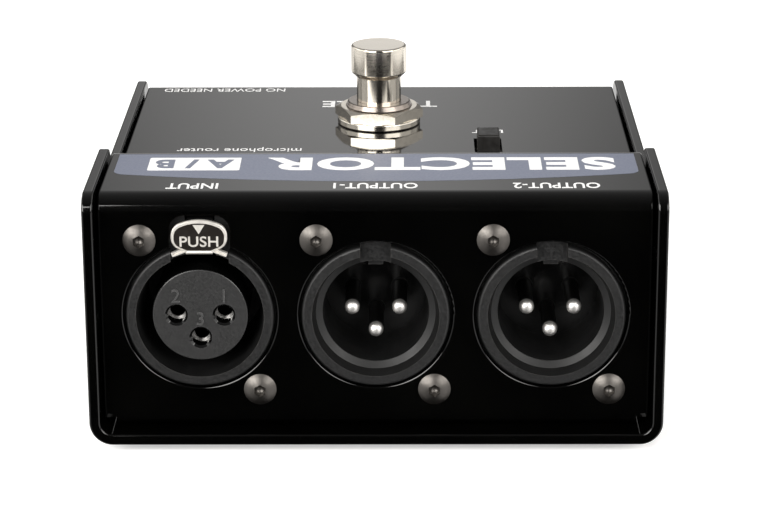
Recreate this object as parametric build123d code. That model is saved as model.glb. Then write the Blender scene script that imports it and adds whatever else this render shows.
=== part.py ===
"""Stage microphone switch box: a folded steel box with one locking XLR input, two XLR outputs,
a momentary footswitch and a small slide switch.

Everything is drawn with y = 0 on the connector face and z = 0 on the underside of the steel base.
save() moves each piece into the part's own frame, whose origin is the centre of the bottom of the
whole box: +X to the right of the connector face, +Y from the connectors to the rear, +Z up.
All sizes are in millimetres.
"""
from build123d import *
import os
from math import pi, radians, tan

# ---------------------------------------------------------------- overall sizes
BOX_WIDTH = 93.4
BOX_LENGTH = 99.2
FRONT_LIP = 3.0                 # side plates standing in front of the connector face
SIDE_HIGH = 42.4                # side plates beside the upper deck
SIDE_LOW = 36.6                 # side plates beside the lower deck
BASE_SHEET = 1.8
BASE_BEND = 3.8                 # outside radius of the bends under the side plates
PAD_THICKNESS = 1.5

COVER_WIDTH = 88.9
COVER_LENGTH = 93.2
COVER_SHEET = 1.6
COVER_BEND = 3.0                # outside radius of every bend in the cover
UPPER_DECK = 41.6
LOWER_DECK = 35.9
CREST_Y = 25.7                  # where the upper deck and the riser would meet without a bend
RISER_ANGLE = 50.0              # riser to the lower deck, degrees from level
FLANGE_DEPTH = 14.0             # return flanges lying on the base
FLANGE_HALF_WIDTH = 42.3
CORNER_NOTCH_TOP = 3.7
EDGE_SOFTENING = 0.35           # paint-rounded sheet edges
HOLE_SOFTENING = 0.45           # paint-rounded edges of the holes in the connector face

# ---------------------------------------------------------------- connectors
PORT_Z = 21.4
PORT_PITCH = 28.4
PORT_HOLE_R = 12.35
RING_R = 11.95
RING_PROUD = 0.6
PORT_WIDTH = 26.0
PORT_FLANGE_DEPTH = 4.5
PORT_FLANGE_HALF_HEIGHT = 15.5
PORT_BODY_HALF_HEIGHT = 13.0
PORT_BACK = 18.5                # rear face of every connector body
CONTACT_CIRCLE = 3.85           # the three contacts lie on this radius
CONTACT_OFFSETS = ((CONTACT_CIRCLE, 0.0), (-CONTACT_CIRCLE, 0.0), (0.0, -CONTACT_CIRCLE))
TAIL_WIDTH = 0.8
TAIL_Y = 20.5
TAIL_BOTTOM = 5.4
SCREW_X = 9.5
SCREW_Z = 12.75
SCREW_R = 1.25
SCREW_HEAD_R = 2.75
SCREW_HEAD_HEIGHT = 1.0
SCREW_SOCKET_R = 1.05
SCREW_SOCKET_DEPTH = 0.9
SCREW_DIMPLE_R = 0.9            # rounded floor of the hexagon socket

INPUT_BORE_R = 9.65
INPUT_MOUTH_R = 10.35
INPUT_MOUTH_DEPTH = 7.0         # of the lead-in taper, behind the connector face
INPUT_FLOOR_Y = 15.5            # bottom of the gap round the insert
INPUT_INSERT_R = 7.8
INSERT_FRONT_Y = 0.2
CONTACT_WELL_R = 1.5            # holes in the insert, in front of the contacts
CONTACT_WELL_RIM = 0.35
CONTACT_FRONT_Y = 3.4
CONTACT_BORE_R = 1.25
CONTACT_R = 1.6
CONTACT_BORE_END = 14.5

OUTPUT_MOUTH_R = 10.3
OUTPUT_SHELF_R = 9.7            # where the mouth's taper meets a shallow shelf
OUTPUT_SHELF_Y = 1.5
OUTPUT_BORE_R = 8.6
OUTPUT_BORE_Y = 2.2
OUTPUT_EDGE = 0.15              # rounding of the two edges in the mouth
OUTPUT_FLOOR_Y = 15.0
PIN_R = 1.2
PIN_SHANK_R = 1.45              # where the insert holds it
PIN_TIP_Y = 3.2

# ---------------------------------------------------------------- release latch of the input
LATCH_X = -PORT_PITCH + 0.2
LATCH_TAB_HALF_WIDTH = 4.5
LATCH_TAB_TOP = 37.95
LATCH_TAB_BOTTOM = 32.8
LATCH_TAB_FOOT_HALF = 2.15
LATCH_RIM = 0.45
LATCH_FRONT_Y = -1.2
LATCH_BACK_Y = -0.5
LATCH_BAR_R = 0.34              # rolled bar along the tab's foot
LATCH_POCKET = 0.4              # depth of the tab's face inside its rim
LATCH_INLAY_RECESS = 0.15
LATCH_ARM_HALF_WIDTH = 2.1
LATCH_ARM_LOW = 34.0
LATCH_ARM_HIGH = 35.0
LATCH_HOOK_FRONT = 6.5
LATCH_HOOK_BACK = 7.5
LATCH_HOOK_TIP = 30.2
LATCH_PIVOT_Y = 3.0
LATCH_PIVOT_Z = 36.2
LATCH_BOSS_R = 1.4
LATCH_PIN_R = 0.5
LATCH_ROOF = 38.0               # underside of the roof over the latch
LATCH_TOWER_TOP = 39.4
LATCH_SLOT_BACK = 8.9
LATCH_TOWER_BACK = 9.8
LATCH_SLOT_HALF_WIDTH = 2.45

# ---------------------------------------------------------------- footswitch
SWITCH_Y = 65.3
CAP_R = 5.0
CAP_TOP = 50.5
CAP_BOTTOM = 44.7
STEM_R = 4.0
STEM_BOTTOM = 33.0
BUSHING_BORE_R = 4.06
THREAD_R = 6.0
THREAD_DEPTH = 0.35
THREAD_PITCH = 0.75
BUSHING_TOP = 40.1
BUSHING_FLANGE_R = 7.0
SWITCH_HOLE_R = 6.1
WASHER_R = 7.5
WASHER_THICKNESS = 1.3
NUT_FLATS = 14.0
NUT_HEIGHT = 2.0
NUT_TURN = -8.5                 # degrees that the upper nut is turned from square
CASE_HALF = 8.2
CASE_BOTTOM = 16.8
CASE_TOP = 28.8
CASE_WALL = 1.2
CASE_FLOOR = 18.3
FRAME_SHEET = 0.8
LUG_X = 5.0
LUG_PITCH = 5.0
LUG_BOTTOM = 11.8
LUG_TOP = 22.4
PLUNGER_R = 2.9
PLUNGER_DISC_R = 3.4
PLUNGER_BOTTOM = 25.0
PLUNGER_DISC_TOP = 26.4

# ---------------------------------------------------------------- slide switch
SLIDE_X = 19.45
SLIDE_Y = 49.4                  # middle of the window
WINDOW_WIDTH = 4.9
WINDOW_LENGTH = 9.0
KNOB_WIDTH = 3.9
KNOB_LENGTH = 5.6
KNOB_TOP = 38.9
SLIDE_TRAVEL = 2.8
CAN_HALF_WIDTH = 3.5
CAN_HALF_LENGTH = 7.6
CAN_SHEET = 0.5
CAN_BOTTOM = 28.4
EAR_HALF_LENGTH = 12.4
STUD_OFFSET = 10.6
STUD_R = 1.0
SLIDE_LUG_BOTTOM = 24.0

# ---------------------------------------------------------------- circuit board and fasteners
BOARD_TOP = 8.4
BOARD_THICKNESS = 1.6
BOARD_HALF_WIDTH = 40.5
BOARD_FRONT = 6.4
BOARD_BACK = 40.0
COVER_SCREW_X = 36.0
COVER_SCREW_INSET = 8.0
COVER_SCREW_R = 1.5
COVER_SCREW_HEAD_R = 2.9
COVER_SCREW_HEAD_DEPTH = 1.5
WIRE_R = 0.7

# ---------------------------------------------------------------- worked-out places
FACE_BACK_Y = COVER_SHEET
DECK_UNDERSIDE = LOWER_DECK - COVER_SHEET
FLANGE_TOP = BASE_SHEET + COVER_SHEET
PORT_XS = (-PORT_PITCH, 0.0, PORT_PITCH)
KNOB_REST_Y = SLIDE_Y - SLIDE_TRAVEL / 2
COVER_SCREW_YS = (COVER_SCREW_INSET, COVER_LENGTH - COVER_SCREW_INSET)
TO_PART_FRAME = Location((0, FRONT_LIP - BOX_LENGTH / 2, PAD_THICKNESS))


# ---------------------------------------------------------------- helpers
def save(name, *pieces):
    """Write one node: its pieces, moved into the part's own frame."""
    moved = [TO_PART_FRAME * piece for piece in pieces]
    solids = [solid for piece in moved for solid in piece.solids()]
    export_step(Compound(children=solids), f"parts/{name}.step")


def block(low, high):
    """Box between two opposite corners."""
    size = [high[i] - low[i] for i in range(3)]
    middle = [(high[i] + low[i]) / 2 for i in range(3)]
    return Pos(*middle) * Box(*size)


def rod(radius, start, end):
    """Round bar between two points."""
    along = Vector(*end) - Vector(*start)
    place = Plane(origin=start, z_dir=along)
    return place * Cylinder(radius, along.length, align=(Align.CENTER, Align.CENTER, Align.MIN))


def cone(start_radius, end_radius, start, end):
    """Tapered round bar between two points."""
    along = Vector(*end) - Vector(*start)
    place = Plane(origin=start, z_dir=along)
    align = (Align.CENTER, Align.CENTER, Align.MIN)
    return place * Cone(start_radius, end_radius, along.length, align=align)


def side_plate(points, radii, low_x, high_x):
    """Outline of (y, z) points with rounded corners, as thick as low_x to high_x."""
    outline = FilletPolyline([(low_x, y, z) for y, z in points], radius=radii, close=True)
    return extrude(make_face(outline), amount=high_x - low_x, dir=(1, 0, 0))


def turned(points, radii, x, y):
    """Solid of revolution about a vertical axis, from (radius, z) points."""
    outline = FilletPolyline([(r, 0, z) for r, z in points], radius=radii, close=True)
    return Pos(x, y, 0) * revolve(make_face(outline), axis=Axis.Z)


def hexagon_nut(flats, bore_radius, low_z, high_z, turn):
    """Hexagon nut on the footswitch axis, its upper corners chamfered."""
    height = high_z - low_z
    prism = extrude(RegularPolygon(flats / 2, 6, major_radius=False), height)
    corner_radius = flats / 2 * 1.155
    align = (Align.CENTER, Align.CENTER, Align.MIN)
    blank = Cylinder(corner_radius, height, align=align)
    top_edge = blank.edges().filter_by(GeomType.CIRCLE).sort_by(Axis.Z)[-1]
    blank = chamfer(top_edge, 0.55, corner_radius - flats / 2 + 0.1)
    bore = Cylinder(bore_radius, height, align=align)
    return Pos(0, SWITCH_Y, low_z) * Rot(0, 0, turn) * ((prism & blank) - bore)


def coil(radius, wire_radius, turns, x, y, low_z, high_z):
    """Compression spring about a vertical axis."""
    height = high_z - low_z - 2 * wire_radius
    path = Helix(height / turns, height, radius)
    section = Plane(origin=path @ 0, z_dir=path % 0) * Circle(wire_radius)
    return Pos(x, y, low_z + wire_radius) * sweep(section, path=path, is_frenet=True)


# ---------------------------------------------------------------- steel box
def side_step(top_y, high, low):
    """Two (y, z) points where an edge at one height runs down the riser's slope to another."""
    return [(top_y, high), (top_y + (high - low) / tan(radians(RISER_ANGLE)), low)]


def base_shell():
    """Floor and both side plates, folded from one sheet."""
    half = BOX_WIDTH / 2
    front = -FRONT_LIP
    back = BOX_LENGTH - FRONT_LIP
    channel = [(-half, SIDE_HIGH), (-half, 0), (half, 0), (half, SIDE_HIGH)]
    inner = half - BASE_SHEET
    channel += [(inner, SIDE_HIGH), (inner, BASE_SHEET), (-inner, BASE_SHEET), (-inner, SIDE_HIGH)]
    inner_bend = BASE_BEND - BASE_SHEET
    radii = [0, BASE_BEND, BASE_BEND, 0, 0, inner_bend, inner_bend, 0]
    outline = FilletPolyline([(x, front, z) for x, z in channel], radius=radii, close=True)
    folded = extrude(make_face(outline), amount=BOX_LENGTH, dir=(0, 1, 0))

    step = side_step(CREST_Y - 0.5, SIDE_HIGH, SIDE_LOW)
    silhouette = [(front, -1), (front, SIDE_HIGH), *step, (back, SIDE_LOW), (back, -1)]
    shell = folded & side_plate(silhouette, [0, 3.2, 1.5, 1, 4, 0], -half, half)
    edges = shell.edges().filter_by(lambda edge: abs(edge.center().X) > inner - 0.01)
    edges = edges.filter_by(lambda edge: edge.center().Z > BASE_BEND + 0.1)
    edges = edges.filter_by(lambda edge: edge.length > 2 * BASE_SHEET)
    shell = fillet(edges, EDGE_SOFTENING)
    for x, y in cover_screw_places():
        shell -= rod(COVER_SCREW_R + 0.1, (x, y, 0), (x, y, BASE_SHEET))
        shell -= cone(COVER_SCREW_HEAD_R + 0.1, COVER_SCREW_R + 0.1, (x, y, 0), (x, y, 1.5))
    return shell


def base_pad():
    """Rubber sheet glued under the floor, open round the cover screws."""
    inset = 5.0
    width = BOX_WIDTH - 2 * inset
    length = BOX_LENGTH - 2 * inset
    middle_y = BOX_LENGTH / 2 - FRONT_LIP
    sheet = extrude(Pos(0, middle_y, -PAD_THICKNESS) * RectangleRounded(width, length, 3), PAD_THICKNESS)
    for x, y in cover_screw_places():
        sheet -= rod(COVER_SCREW_HEAD_R + 1.1, (x, y, -PAD_THICKNESS), (x, y, 0))
    return sheet


def cover_screw_places():
    return [(x, y) for x in (-COVER_SCREW_X, COVER_SCREW_X) for y in COVER_SCREW_YS]


def cover_outline(inset):
    """Closed (y, z) outline of the folded cover, moved inwards by inset."""
    shift = inset * tan(radians(RISER_ANGLE / 2))
    step = side_step(CREST_Y - shift, UPPER_DECK - inset, LOWER_DECK - inset)
    front = [(inset, BASE_SHEET + inset), (inset, UPPER_DECK - inset)]
    back = [(COVER_LENGTH - inset, LOWER_DECK - inset), (COVER_LENGTH - inset, BASE_SHEET + inset)]
    return [*front, *step, *back]


def top_cover():
    """Connector face, both decks and the rear face, folded from one sheet with two return flanges."""
    half = COVER_WIDTH / 2
    tight = COVER_BEND - COVER_SHEET
    outer = side_plate(cover_outline(0), [COVER_BEND] * 3 + [tight] + [COVER_BEND] * 2, -half, half)
    inner = side_plate(cover_outline(COVER_SHEET), [tight] * 3 + [COVER_BEND] + [tight] * 2, -half, half)
    cover = outer - inner
    cover -= block((-half, FLANGE_DEPTH, 0), (half, COVER_LENGTH - FLANGE_DEPTH, FLANGE_TOP + 1))
    edges = cover.edges().filter_by(lambda edge: abs(abs(edge.center().X) - half) < 0.01)
    cover = fillet(edges.filter_by(lambda edge: edge.length > 2 * COVER_SHEET), EDGE_SOFTENING)
    for side in (-1, 1):
        notch = [side * FLANGE_HALF_WIDTH, side * (half + 1)]
        for low_y, high_y in ((-1, FLANGE_DEPTH + 1), (COVER_LENGTH - FLANGE_DEPTH - 1, COVER_LENGTH + 1)):
            cover -= block((min(notch), low_y, 0), (max(notch), high_y, CORNER_NOTCH_TOP))
    for x, y in cover_screw_places():
        cover -= rod(COVER_SCREW_R + 0.1, (x, y, 0), (x, y, FLANGE_TOP + 1))
    cover -= port_cutouts()
    rims = cover.edges().filter_by(GeomType.CIRCLE).filter_by(lambda edge: abs(edge.center().Y) < 0.01)
    rims = rims.filter_by(lambda edge: abs(edge.radius - PORT_HOLE_R) < 0.01)
    return fillet(rims, HOLE_SOFTENING) - deck_cutouts()


def port_cutouts():
    """Openings in the connector face for the three rings, their screws and the latch."""
    tools = [rod(PORT_HOLE_R, (x, -1, PORT_Z), (x, COVER_SHEET + 1, PORT_Z)) for x in PORT_XS]
    for x, z in connector_screw_places():
        tools.append(rod(SCREW_R + 0.3, (x, -1, z), (x, COVER_SHEET + 1, z)))
    gap = 0.4
    low = (LATCH_X - LATCH_TAB_HALF_WIDTH - gap, -1, PORT_Z)
    high = (LATCH_X + LATCH_TAB_HALF_WIDTH + gap, COVER_SHEET + 1, LATCH_TAB_TOP + gap)
    slot = block(low, high)
    top_corners = slot.edges().filter_by(Axis.Y).sort_by(Axis.Z)[-2:]
    tools.append(fillet(top_corners, 2.6))
    return Compound(children=[solid for tool in tools for solid in tool.solids()])


def deck_cutouts():
    """Holes in the lower deck for the footswitch and the slide switch."""
    switch_hole = rod(SWITCH_HOLE_R, (0, SWITCH_Y, DECK_UNDERSIDE - 1), (0, SWITCH_Y, LOWER_DECK + 1))
    window = Pos(SLIDE_X, SLIDE_Y, LOWER_DECK) * Box(WINDOW_WIDTH, WINDOW_LENGTH, 6)
    return Compound(children=[*switch_hole.solids(), *window.solids()])


def cover_screw(x, y):
    """Countersunk screw from below, through the floor and a flange into its nut."""
    head = cone(COVER_SCREW_HEAD_R, COVER_SCREW_R, (x, y, 0), (x, y, COVER_SCREW_HEAD_DEPTH))
    shank = rod(COVER_SCREW_R, (x, y, 0), (x, y, 6.0))
    socket = extrude(Pos(x, y, 0) * RegularPolygon(1.0, 6), 1.2)
    return head + shank - socket


def flange_nut(x, y):
    """Round clinch nut pressed onto a return flange."""
    nut = rod(3.1, (x, y, FLANGE_TOP), (x, y, FLANGE_TOP + 2.2))
    rim = nut.edges().filter_by(GeomType.CIRCLE).sort_by(Axis.Z)[-1]
    return chamfer(rim, 0.4) - rod(COVER_SCREW_R + 0.03, (x, y, 0), (x, y, FLANGE_TOP + 3))


# ---------------------------------------------------------------- connectors
def connector_screw_places():
    """Two screws on a diagonal of each connector."""
    corners = ((-SCREW_X, SCREW_Z), (SCREW_X, -SCREW_Z))
    return [(x + dx, PORT_Z + dz) for x in PORT_XS for dx, dz in corners]


def connector_screw(x, z):
    """Domed screw through the connector face into a connector's flange."""
    dome_r = (SCREW_HEAD_R ** 2 + SCREW_HEAD_HEIGHT ** 2) / (2 * SCREW_HEAD_HEIGHT)
    dome = Pos(x, dome_r - SCREW_HEAD_HEIGHT, z) * Sphere(dome_r)
    head = dome & rod(SCREW_HEAD_R - 0.1, (x, -SCREW_HEAD_HEIGHT, z), (x, 0, z))
    shank = rod(SCREW_R, (x, 0, z), (x, FACE_BACK_Y + PORT_FLANGE_DEPTH - 0.2, z))
    hexagon = Plane(origin=(x, -SCREW_HEAD_HEIGHT, z), z_dir=(0, 1, 0)) * RegularPolygon(SCREW_SOCKET_R, 6)
    dimple_y = SCREW_SOCKET_DEPTH - SCREW_HEAD_HEIGHT - SCREW_DIMPLE_R + 0.3
    dimple = Pos(x, dimple_y, z) * Sphere(SCREW_DIMPLE_R)
    return head + shank - extrude(hexagon, SCREW_SOCKET_DEPTH) - dimple


def port_blank(x):
    """Ring, flange and body shared by all three connectors, before boring."""
    half = PORT_WIDTH / 2
    flange_back = FACE_BACK_Y + PORT_FLANGE_DEPTH
    low_z = PORT_Z - PORT_FLANGE_HALF_HEIGHT
    high_z = PORT_Z + PORT_FLANGE_HALF_HEIGHT
    flange = block((x - half, FACE_BACK_Y, low_z), (x + half, flange_back, high_z))
    body_low = PORT_Z - PORT_BODY_HALF_HEIGHT
    body_high = PORT_Z + PORT_BODY_HALF_HEIGHT
    body = block((x - half, flange_back, body_low), (x + half, PORT_BACK, body_high))
    ring = rod(RING_R, (x, -RING_PROUD, PORT_Z), (x, FACE_BACK_Y, PORT_Z))
    rim = ring.edges().filter_by(GeomType.CIRCLE).sort_by(Axis.Y)[0]
    blank = flange + body + fillet(rim, 0.45)
    for peg_x in (x - 10, x + 10):
        blank += rod(0.8, (peg_x, 14, body_low - BOARD_THICKNESS), (peg_x, 14, body_low))
    for dx, dz in ((-SCREW_X, SCREW_Z), (SCREW_X, -SCREW_Z)):
        place = (x + dx, 0, PORT_Z + dz)
        blank -= rod(SCREW_R + 0.03, place, (x + dx, flange_back, PORT_Z + dz))
    return blank


def input_housing():
    """Body of the locking input: a round socket, and a tower over it that holds the latch."""
    x = PORT_XS[0]
    tower = block((x - 6, FACE_BACK_Y, PORT_Z + 10), (x + 6, LATCH_TOWER_BACK, LATCH_TOWER_TOP))
    top_front = tower.edges().filter_by(Axis.X).sort_by(Axis.Z)[-2:].sort_by(Axis.Y)[0]
    housing = port_blank(x) + chamfer(top_front, 1.0)
    mouth = (x, -RING_PROUD, PORT_Z)
    housing -= rod(INPUT_BORE_R, mouth, (x, INPUT_FLOOR_Y, PORT_Z))
    housing -= cone(INPUT_MOUTH_R, INPUT_BORE_R, mouth, (x, INPUT_MOUTH_DEPTH, PORT_Z))
    housing -= rod(INPUT_INSERT_R + 0.02, mouth, (x, PORT_BACK, PORT_Z))
    half_gap = LATCH_TAB_HALF_WIDTH + 0.2
    housing -= block((LATCH_X - half_gap, -2, PORT_Z + 5), (LATCH_X + half_gap, FACE_BACK_Y, 40))
    low = (LATCH_X - LATCH_SLOT_HALF_WIDTH, 0, PORT_Z + 5)
    housing -= block(low, (LATCH_X + LATCH_SLOT_HALF_WIDTH, LATCH_SLOT_BACK, LATCH_ROOF))
    pin_hole_start = (LATCH_X - 5.6, LATCH_PIVOT_Y, LATCH_PIVOT_Z)
    housing -= rod(LATCH_PIN_R + 0.01, pin_hole_start, (LATCH_X + 5.6, LATCH_PIVOT_Y, LATCH_PIVOT_Z))
    return housing


def input_insert():
    """Round block that carries the three socket contacts."""
    x = PORT_XS[0]
    insert = rod(INPUT_INSERT_R, (x, INSERT_FRONT_Y, PORT_Z), (x, PORT_BACK, PORT_Z))
    rim = insert.edges().filter_by(GeomType.CIRCLE).sort_by(Axis.Y)[0]
    insert = fillet(rim, 0.3)
    for dx, dz in CONTACT_OFFSETS:
        front = (x + dx, INSERT_FRONT_Y, PORT_Z + dz)
        rim_end = (x + dx, INSERT_FRONT_Y + CONTACT_WELL_RIM, PORT_Z + dz)
        contact_front = (x + dx, CONTACT_FRONT_Y, PORT_Z + dz)
        insert -= rod(CONTACT_WELL_R, front, contact_front)
        insert -= cone(CONTACT_WELL_R + CONTACT_WELL_RIM, CONTACT_WELL_R, front, rim_end)
        insert -= rod(CONTACT_R + 0.02, contact_front, (x + dx, PORT_BACK, PORT_Z + dz))
    return insert


def board_tail(x, z, radius):
    """Contact's tail: out of the rear of the connector and down through the board."""
    half = TAIL_WIDTH / 2
    stub = rod(radius, (x, PORT_BACK - 1, z), (x, TAIL_Y + half, z))
    drop = block((x - half, TAIL_Y - half, TAIL_BOTTOM), (x + half, TAIL_Y + half, z))
    return stub + drop


def input_contact(dx, dz):
    """Socket contact: a tube for the plug's pin, closed behind, with a tail to the board."""
    x = PORT_XS[0] + dx
    z = PORT_Z + dz
    tube = rod(CONTACT_R, (x, CONTACT_FRONT_Y, z), (x, PORT_BACK, z))
    tube -= rod(CONTACT_BORE_R, (x, CONTACT_FRONT_Y, z), (x, CONTACT_BORE_END, z))
    return tube + board_tail(x, z, 0.9)


def output_housing(x):
    """Body of an output: a well with a stepped mouth, and a notch and a key rib at the top."""
    housing = port_blank(x)
    mouth = (x, -RING_PROUD, PORT_Z)
    shelf = (x, OUTPUT_SHELF_Y, PORT_Z)
    housing -= rod(OUTPUT_BORE_R, mouth, (x, PORT_BACK, PORT_Z))
    housing -= cone(OUTPUT_MOUTH_R, OUTPUT_SHELF_R, mouth, shelf)
    housing -= cone(OUTPUT_SHELF_R, OUTPUT_BORE_R, shelf, (x, OUTPUT_BORE_Y, PORT_Z))
    edges = housing.edges().filter_by(GeomType.CIRCLE)
    for radius in (OUTPUT_MOUTH_R, OUTPUT_BORE_R):
        edge = edges.filter_by(lambda circle: abs(circle.radius - radius) < 0.01).sort_by(Axis.Y)[0]
        housing = fillet(edge, OUTPUT_EDGE)
    housing -= block((x - 2.5, -1, PORT_Z + 7), (x + 2.5, 2.2, PORT_Z + RING_R + 0.2))
    rib = block((x - 1.2, 4.5, PORT_Z + 7.2), (x + 1.2, OUTPUT_FLOOR_Y, PORT_Z + OUTPUT_BORE_R + 0.5))
    return housing + rib


def output_insert(x):
    """Disc at the bottom of an output's well, holding its pins."""
    disc = rod(OUTPUT_BORE_R - 0.02, (x, OUTPUT_FLOOR_Y, PORT_Z), (x, PORT_BACK, PORT_Z))
    for dx, dz in CONTACT_OFFSETS:
        start = (x + dx, OUTPUT_FLOOR_Y, PORT_Z + dz)
        disc -= rod(PIN_SHANK_R + 0.02, start, (x + dx, PORT_BACK, PORT_Z + dz))
    return disc


def output_pin(x, z):
    """Round-nosed pin with a tail to the board."""
    pin = rod(PIN_R, (x, PIN_TIP_Y, z), (x, PORT_BACK, z))
    nose = pin.edges().filter_by(GeomType.CIRCLE).sort_by(Axis.Y)[0]
    shank = rod(PIN_SHANK_R, (x, OUTPUT_FLOOR_Y, z), (x, PORT_BACK, z))
    return fillet(nose, PIN_R - 0.15) + shank + board_tail(x, z, 0.9)


# ---------------------------------------------------------------- release latch
def latch_outline(inset):
    """Face of the push tab: an arched top, rounded shoulders and hips, and a narrower foot."""
    wide = LATCH_TAB_HALF_WIDTH - inset
    shoulder = LATCH_TAB_TOP - inset - 1.2
    apex = LATCH_TAB_TOP - inset + 0.42
    hip = LATCH_TAB_BOTTOM + 0.45 + inset
    foot_half = LATCH_TAB_FOOT_HALF - inset / 2
    points = [(-foot_half, LATCH_TAB_BOTTOM), (-wide, hip), (-wide, shoulder), (0, apex)]
    points += [(wide, shoulder), (wide, hip), (foot_half, LATCH_TAB_BOTTOM)]
    radii = [0, 1.9 - inset, 2.2 - inset, 8 - 2 * inset, 2.2 - inset, 1.9 - inset, 0]
    corners = [(LATCH_X + x, LATCH_FRONT_Y, z) for x, z in points]
    return make_face(FilletPolyline(corners, radius=radii, close=True))


def input_latch():
    """Push tab, the arm behind it, its pivot boss and the hook that drops into the socket."""
    thickness = LATCH_BACK_Y - LATCH_FRONT_Y
    tab = extrude(latch_outline(0), amount=thickness, dir=(0, 1, 0))
    rim = tab.faces().sort_by(Axis.Y)[0].edges()
    tab = chamfer(rim.filter_by(lambda edge: edge.center().Z > LATCH_TAB_BOTTOM + 0.1), 0.15)
    bar_y = LATCH_FRONT_Y + LATCH_BAR_R
    bar_z = LATCH_TAB_BOTTOM - LATCH_BAR_R
    foot_half = LATCH_TAB_FOOT_HALF
    foot_bar = rod(LATCH_BAR_R, (LATCH_X - foot_half, bar_y, bar_z), (LATCH_X + foot_half, bar_y, bar_z))
    pocket_floor = LATCH_FRONT_Y + LATCH_POCKET
    foot_bar += block((LATCH_X - foot_half, pocket_floor, bar_z - LATCH_BAR_R),
                      (LATCH_X + foot_half, LATCH_BACK_Y, LATCH_TAB_BOTTOM + 0.3))
    half = LATCH_ARM_HALF_WIDTH
    arm_low = (LATCH_X - half, LATCH_BACK_Y - 0.2, LATCH_ARM_LOW)
    arm = block(arm_low, (LATCH_X + half, LATCH_HOOK_BACK, LATCH_ARM_HIGH))
    hook_low = (LATCH_X - half, LATCH_HOOK_FRONT, LATCH_HOOK_TIP)
    hook = block(hook_low, (LATCH_X + half, LATCH_HOOK_BACK, LATCH_ARM_HIGH))
    boss_start = (LATCH_X - half, LATCH_PIVOT_Y, LATCH_PIVOT_Z)
    boss_end = (LATCH_X + half, LATCH_PIVOT_Y, LATCH_PIVOT_Z)
    web_high = (LATCH_X + half, LATCH_PIVOT_Y + 0.9, LATCH_PIVOT_Z)
    web = block((LATCH_X - half, LATCH_PIVOT_Y - 0.9, LATCH_ARM_LOW), web_high)
    latch = tab + foot_bar + arm + hook + web + rod(LATCH_BOSS_R, boss_start, boss_end)
    for side in (-1, 1):
        wing = Pos(LATCH_X + side * 3.2, -0.8, 32.5) * Rot(0, side * 21, 0)
        latch += wing * Box(2.6, 0.8, 0.66)
        latch -= wing * Pos(side * 0.15, -0.4, 0) * Box(1.8, 0.5, 0.26)
    latch -= extrude(latch_outline(LATCH_RIM), amount=LATCH_POCKET, dir=(0, 1, 0))
    return latch - rod(LATCH_PIN_R + 0.06, boss_start, boss_end)


def latch_inlay():
    """Dark plate let into the face of the push tab."""
    face = Pos(0, LATCH_INLAY_RECESS, 0) * latch_outline(LATCH_RIM + 0.02)
    return extrude(face, amount=LATCH_POCKET - LATCH_INLAY_RECESS, dir=(0, 1, 0))


def latch_pin():
    """Pivot pin across the latch tower."""
    start = (LATCH_X - 5.5, LATCH_PIVOT_Y, LATCH_PIVOT_Z)
    return rod(LATCH_PIN_R, start, (LATCH_X + 5.5, LATCH_PIVOT_Y, LATCH_PIVOT_Z))


# ---------------------------------------------------------------- footswitch
def footswitch_cap():
    """Round metal button and the stem that slides in the bushing."""
    points = [(0, STEM_BOTTOM), (STEM_R, STEM_BOTTOM), (STEM_R, CAP_BOTTOM), (CAP_R - 0.85, CAP_BOTTOM)]
    points += [(CAP_R, CAP_BOTTOM + 0.8), (CAP_R, CAP_TOP), (0, CAP_TOP)]
    return turned(points, [0, 0, 0, 0.1, 0.4, 0.4, 0], 0, SWITCH_Y)


def footswitch_plunger():
    """Plastic rod under the stem, with a disc that carries the contact bridge."""
    points = [(0, PLUNGER_BOTTOM), (PLUNGER_DISC_R, PLUNGER_BOTTOM), (PLUNGER_DISC_R, PLUNGER_DISC_TOP)]
    points += [(PLUNGER_R, PLUNGER_DISC_TOP), (PLUNGER_R, STEM_BOTTOM), (0, STEM_BOTTOM)]
    return turned(points, 0, 0, SWITCH_Y)


def footswitch_bridge():
    """Brass H that joins the lugs of each row when the plunger is down."""
    low_z = PLUNGER_DISC_TOP
    high_z = low_z + 0.5
    bar = block((-LUG_X, SWITCH_Y - 3.9, low_z), (LUG_X, SWITCH_Y + 3.9, high_z))
    bar -= rod(PLUNGER_R + 0.01, (0, SWITCH_Y, low_z), (0, SWITCH_Y, high_z))
    for x in (-LUG_X, LUG_X):
        bar += block((x - 1.1, SWITCH_Y - 6.2, low_z), (x + 1.1, SWITCH_Y + 6.2, high_z))
        for y in (-LUG_PITCH, 0, LUG_PITCH):
            bar += rod(0.8, (x, SWITCH_Y + y, LUG_TOP + 3.2), (x, SWITCH_Y + y, low_z))
    return bar


def footswitch_bushing():
    """Threaded bushing, with the flange that sits in the case under the frame."""
    flange_bottom = CASE_TOP
    flange_top = CASE_TOP + FRAME_SHEET
    root = THREAD_R - THREAD_DEPTH
    outside = [(BUSHING_BORE_R, flange_bottom), (BUSHING_FLANGE_R, flange_bottom)]
    outside += [(BUSHING_FLANGE_R, flange_top), (root, flange_top)]
    turns = int((BUSHING_TOP - flange_top - 0.5) / THREAD_PITCH)
    for turn in range(turns):
        z = flange_top + 0.3 + turn * THREAD_PITCH
        outside += [(root, z), (THREAD_R, z + THREAD_PITCH / 2)]
    outside += [(root, BUSHING_TOP - 0.1), (root - 0.2, BUSHING_TOP), (BUSHING_BORE_R, BUSHING_TOP)]
    return turned(outside, 0, 0, SWITCH_Y)


def ring(inner_radius, outer_radius, low_z, high_z):
    """Flat washer on the footswitch axis."""
    washer = rod(outer_radius, (0, SWITCH_Y, low_z), (0, SWITCH_Y, high_z))
    washer = fillet(washer.edges().filter_by(GeomType.CIRCLE), 0.3)
    return washer - rod(inner_radius, (0, SWITCH_Y, low_z), (0, SWITCH_Y, high_z))


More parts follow.
